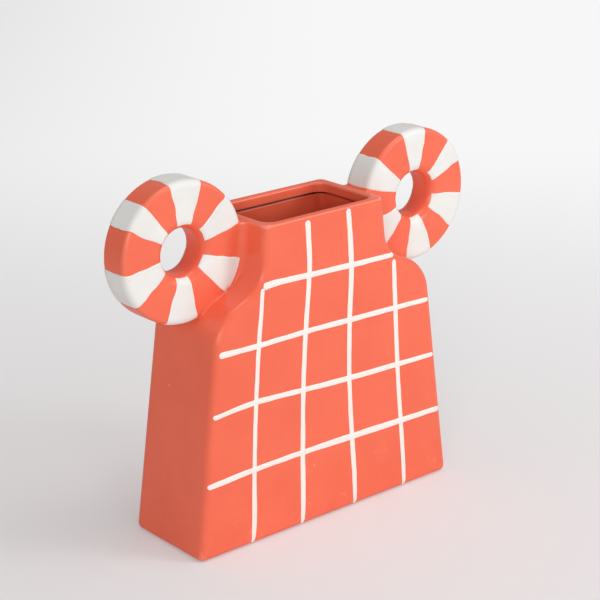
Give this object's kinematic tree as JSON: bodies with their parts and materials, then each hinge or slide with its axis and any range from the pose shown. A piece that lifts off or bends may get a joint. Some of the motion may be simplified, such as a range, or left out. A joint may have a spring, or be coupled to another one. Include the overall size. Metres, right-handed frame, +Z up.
{
  "type": "pillow vase",
  "caption": "Hollow slab-like ceramic vase with a narrow open neck, round ring handles striped in white at the neck, and a hand-painted white grid on both faces.",
  "frame": {"origin": "middle of the foot, on the floor that the vase stands on", "axes": "+Z up, +X along the wide side from ring to ring, -Y out of the front face"},
  "size_m": [0.2611, 0.0654, 0.2219],
  "materials": {
    "coral_glaze": "matte",
    "white_slip": "matte"
  },
  "bodies": {
    "root": {"vase_body": "coral_glaze", "left_ring": "coral_glaze", "right_ring": "coral_glaze", "left_ring_stripe_1": "white_slip", "left_ring_stripe_2": "white_slip", "left_ring_stripe_3": "white_slip", "left_ring_stripe_4": "white_slip", "left_ring_stripe_5": "white_slip", "left_ring_stripe_6": "white_slip", "right_ring_stripe_1": "white_slip", "right_ring_stripe_2": "white_slip", "right_ring_stripe_3": "white_slip", "right_ring_stripe_4": "white_slip", "right_ring_stripe_5": "white_slip", "right_ring_stripe_6": "white_slip", "front_cross_stroke_1": "white_slip", "front_cross_stroke_2": "white_slip", "front_cross_stroke_3": "white_slip", "front_cross_stroke_4": "white_slip", "front_upright_stroke_1": "white_slip", "front_upright_stroke_2": "white_slip", "front_upright_stroke_3": "white_slip", "front_upright_stroke_4": "white_slip", "back_cross_stroke_1": "white_slip", "back_cross_stroke_2": "white_slip", "back_cross_stroke_3": "white_slip", "back_cross_stroke_4": "white_slip", "back_upright_stroke_1": "white_slip", "back_upright_stroke_2": "white_slip", "back_upright_stroke_3": "white_slip", "back_upright_stroke_4": "white_slip"}
  },
  "joints": []
}
